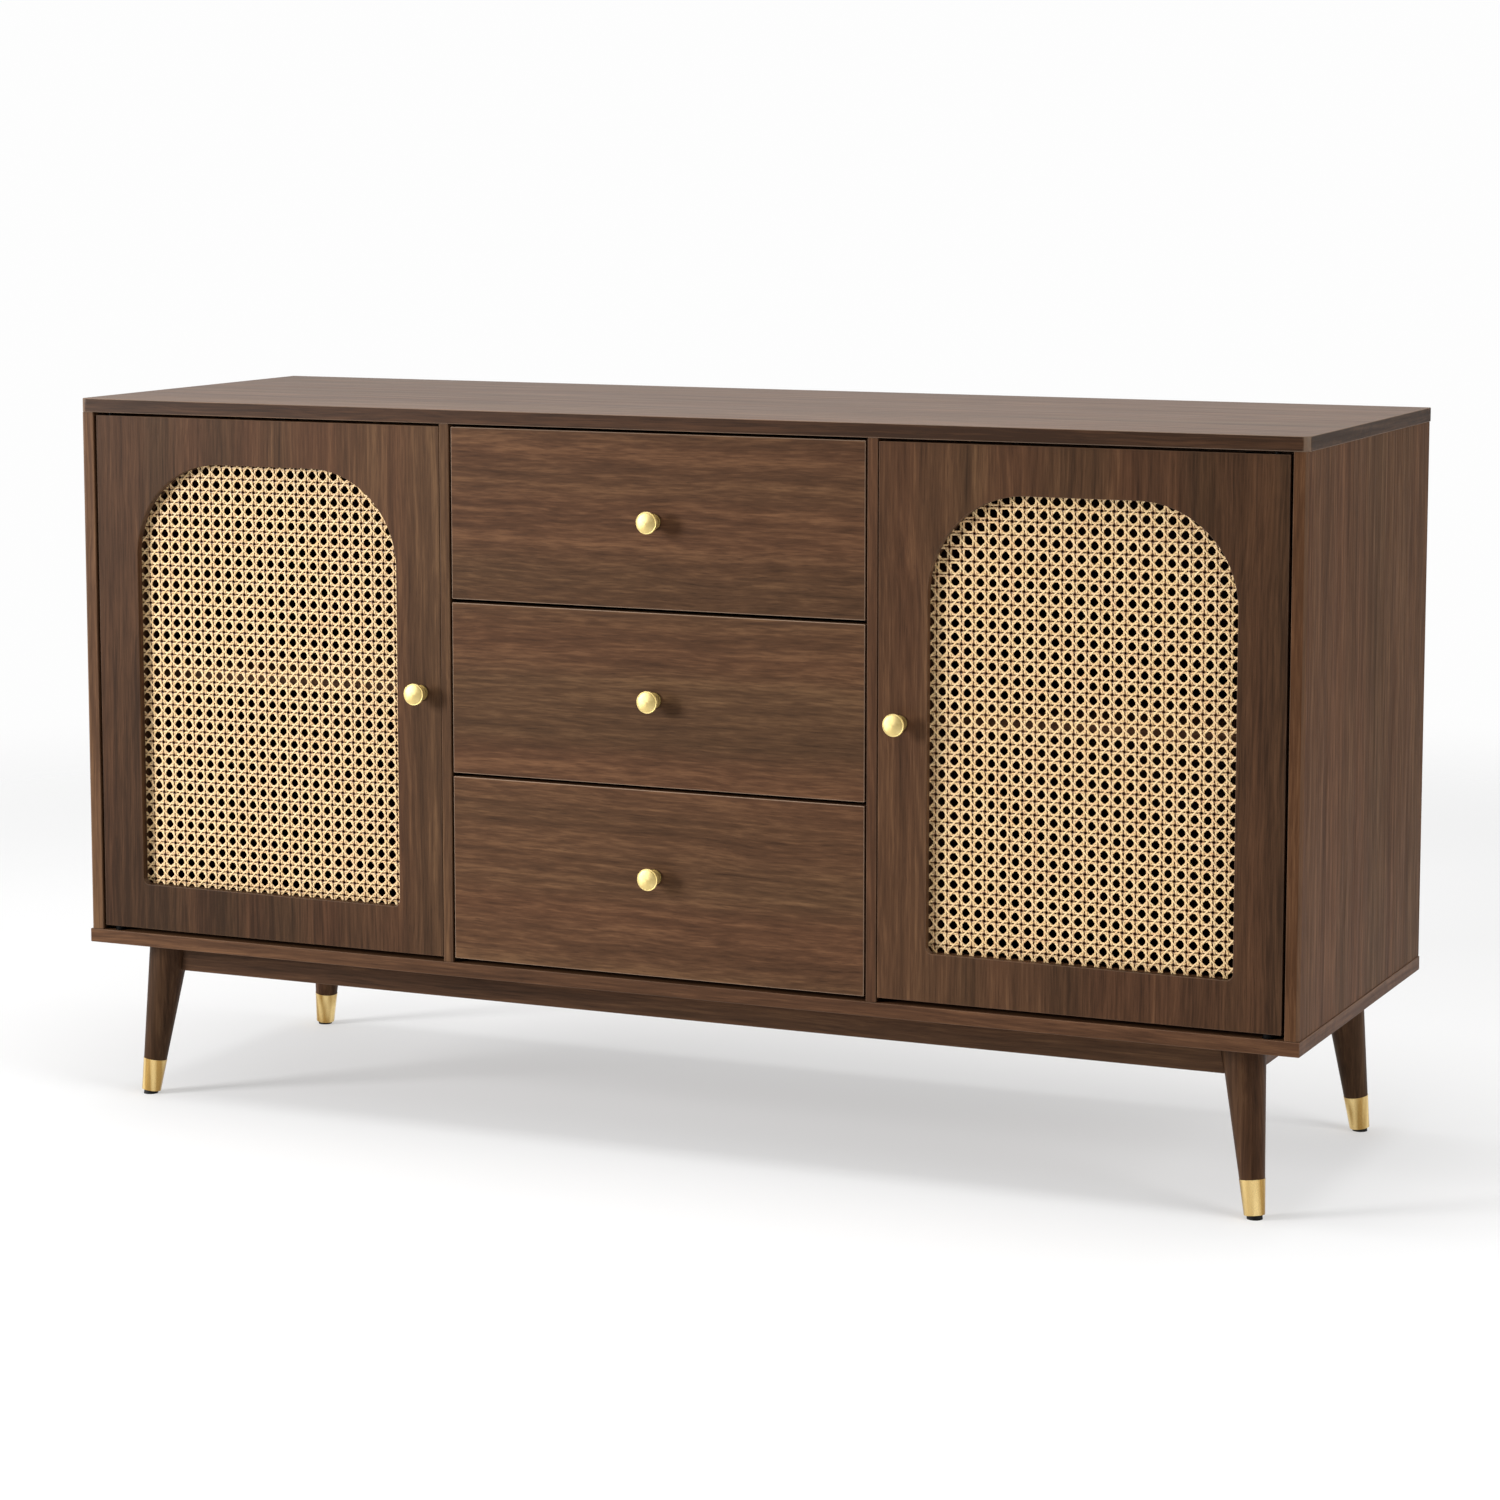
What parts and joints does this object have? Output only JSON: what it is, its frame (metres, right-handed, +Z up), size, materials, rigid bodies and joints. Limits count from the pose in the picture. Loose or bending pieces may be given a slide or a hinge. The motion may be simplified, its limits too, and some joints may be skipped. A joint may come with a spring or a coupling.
{
  "type": "sideboard",
  "caption": "Low wooden sideboard on splayed round legs, with arched cane-webbed hinged doors either side of a bank of sliding drawers.",
  "frame": {"origin": "on the floor, under the centre of the overall box, knobs included", "axes": "+X along the cabinet towards the right-hand door, -Y out of the fronts, +Z up"},
  "size_m": [1.4, 0.478, 0.786],
  "materials": {
    "back_board": "matt hardboard",
    "bush_nylon": "matt black nylon",
    "cane": "natural cane webbing, satin",
    "catch": "matt",
    "drawer_board": "matt melamine board",
    "ferrule_brass": "brushed",
    "fitting_steel": "zinc plated",
    "glide": "matt",
    "knob_brass": "satin",
    "leg_walnut": "satin, grain along the leg",
    "pivot_black": "black oxide steel",
    "slide_steel": "zinc plated",
    "walnut_across": "satin laminate, grain across",
    "walnut_upright": "satin laminate, grain upright"
  },
  "bodies": {
    "cabinet": {"top_panel": "walnut_across", "bottom_panel": "walnut_across", "left_side_panel": "walnut_upright", "right_side_panel": "walnut_upright", "left_divider": "walnut_upright", "right_divider": "walnut_upright", "back_panel": "back_board", "left_shelf": "walnut_across", "right_shelf": "walnut_across", "shelf_pins": "fitting_steel", "cam_fasteners": "fitting_steel", "front_apron": "walnut_across", "back_apron": "walnut_across", "left_apron": "walnut_across", "right_apron": "walnut_across", "centre_rail": "walnut_across", "front_left_leg": "leg_walnut", "front_right_leg": "leg_walnut", "back_left_leg": "leg_walnut", "back_right_leg": "leg_walnut", "leg_bolts": "fitting_steel", "leg_ferrules": "ferrule_brass", "leg_glides": "glide", "pivot_bushes": "bush_nylon", "door_catches": "catch", "slide_outer_rails": "slide_steel"},
    "left_door": {"left_door_panel": "walnut_upright", "left_cane": "cane", "left_cane_retainer": "walnut_upright", "left_door_knob": "knob_brass", "left_door_pivots": "pivot_black", "left_strike_plate": "fitting_steel"},
    "right_door": {"right_door_panel": "walnut_upright", "right_cane": "cane", "right_cane_retainer": "walnut_upright", "right_door_knob": "knob_brass", "right_door_pivots": "pivot_black", "right_strike_plate": "fitting_steel"},
    "top_drawer": {"top_drawer_front": "walnut_across", "top_drawer_sides": "drawer_board", "top_drawer_back": "drawer_board", "top_drawer_bottom": "drawer_board", "top_drawer_knob": "knob_brass", "top_drawer_runners": "slide_steel"},
    "middle_drawer": {"middle_drawer_front": "walnut_across", "middle_drawer_sides": "drawer_board", "middle_drawer_back": "drawer_board", "middle_drawer_bottom": "drawer_board", "middle_drawer_knob": "knob_brass", "middle_drawer_runners": "slide_steel"},
    "bottom_drawer": {"bottom_drawer_front": "walnut_across", "bottom_drawer_sides": "drawer_board", "bottom_drawer_back": "drawer_board", "bottom_drawer_bottom": "drawer_board", "bottom_drawer_knob": "knob_brass", "bottom_drawer_runners": "slide_steel"},
    "top_rails": {"top_slide_rails": "slide_steel"},
    "middle_rails": {"middle_slide_rails": "slide_steel"},
    "bottom_rails": {"bottom_slide_rails": "slide_steel"}
  },
  "joints": [
    {"name": "left_door_hinge", "type": "hinge", "parent": "cabinet", "child": "left_door", "pos_m": [-0.6658, -0.211, 0.4819], "axis": [0, 0, -1], "range_deg": [0, 110]},
    {"name": "right_door_hinge", "type": "hinge", "parent": "cabinet", "child": "right_door", "pos_m": [0.6658, -0.211, 0.4819], "axis": [0, 0, 1], "range_deg": [0, 110]},
    {"name": "top_drawer_slide", "type": "slide", "parent": "cabinet", "child": "top_drawer", "axis": [0, -1, 0], "range_m": [0, 0.3]},
    {"name": "top_rails_slide", "type": "slide", "parent": "cabinet", "child": "top_rails", "axis": [0, -1, 0], "range_m": [0, 0.15]},
    {"name": "middle_drawer_slide", "type": "slide", "parent": "cabinet", "child": "middle_drawer", "axis": [0, -1, 0], "range_m": [0, 0.3]},
    {"name": "middle_rails_slide", "type": "slide", "parent": "cabinet", "child": "middle_rails", "axis": [0, -1, 0], "range_m": [0, 0.15]},
    {"name": "bottom_drawer_slide", "type": "slide", "parent": "cabinet", "child": "bottom_drawer", "axis": [0, -1, 0], "range_m": [0, 0.3]},
    {"name": "bottom_rails_slide", "type": "slide", "parent": "cabinet", "child": "bottom_rails", "axis": [0, -1, 0], "range_m": [0, 0.15]}
  ],
  "couplings": [
    {"joint": "top_rails_slide", "follows": "top_drawer_slide", "ratio": 0.5},
    {"joint": "middle_rails_slide", "follows": "middle_drawer_slide", "ratio": 0.5},
    {"joint": "bottom_rails_slide", "follows": "bottom_drawer_slide", "ratio": 0.5}
  ]
}
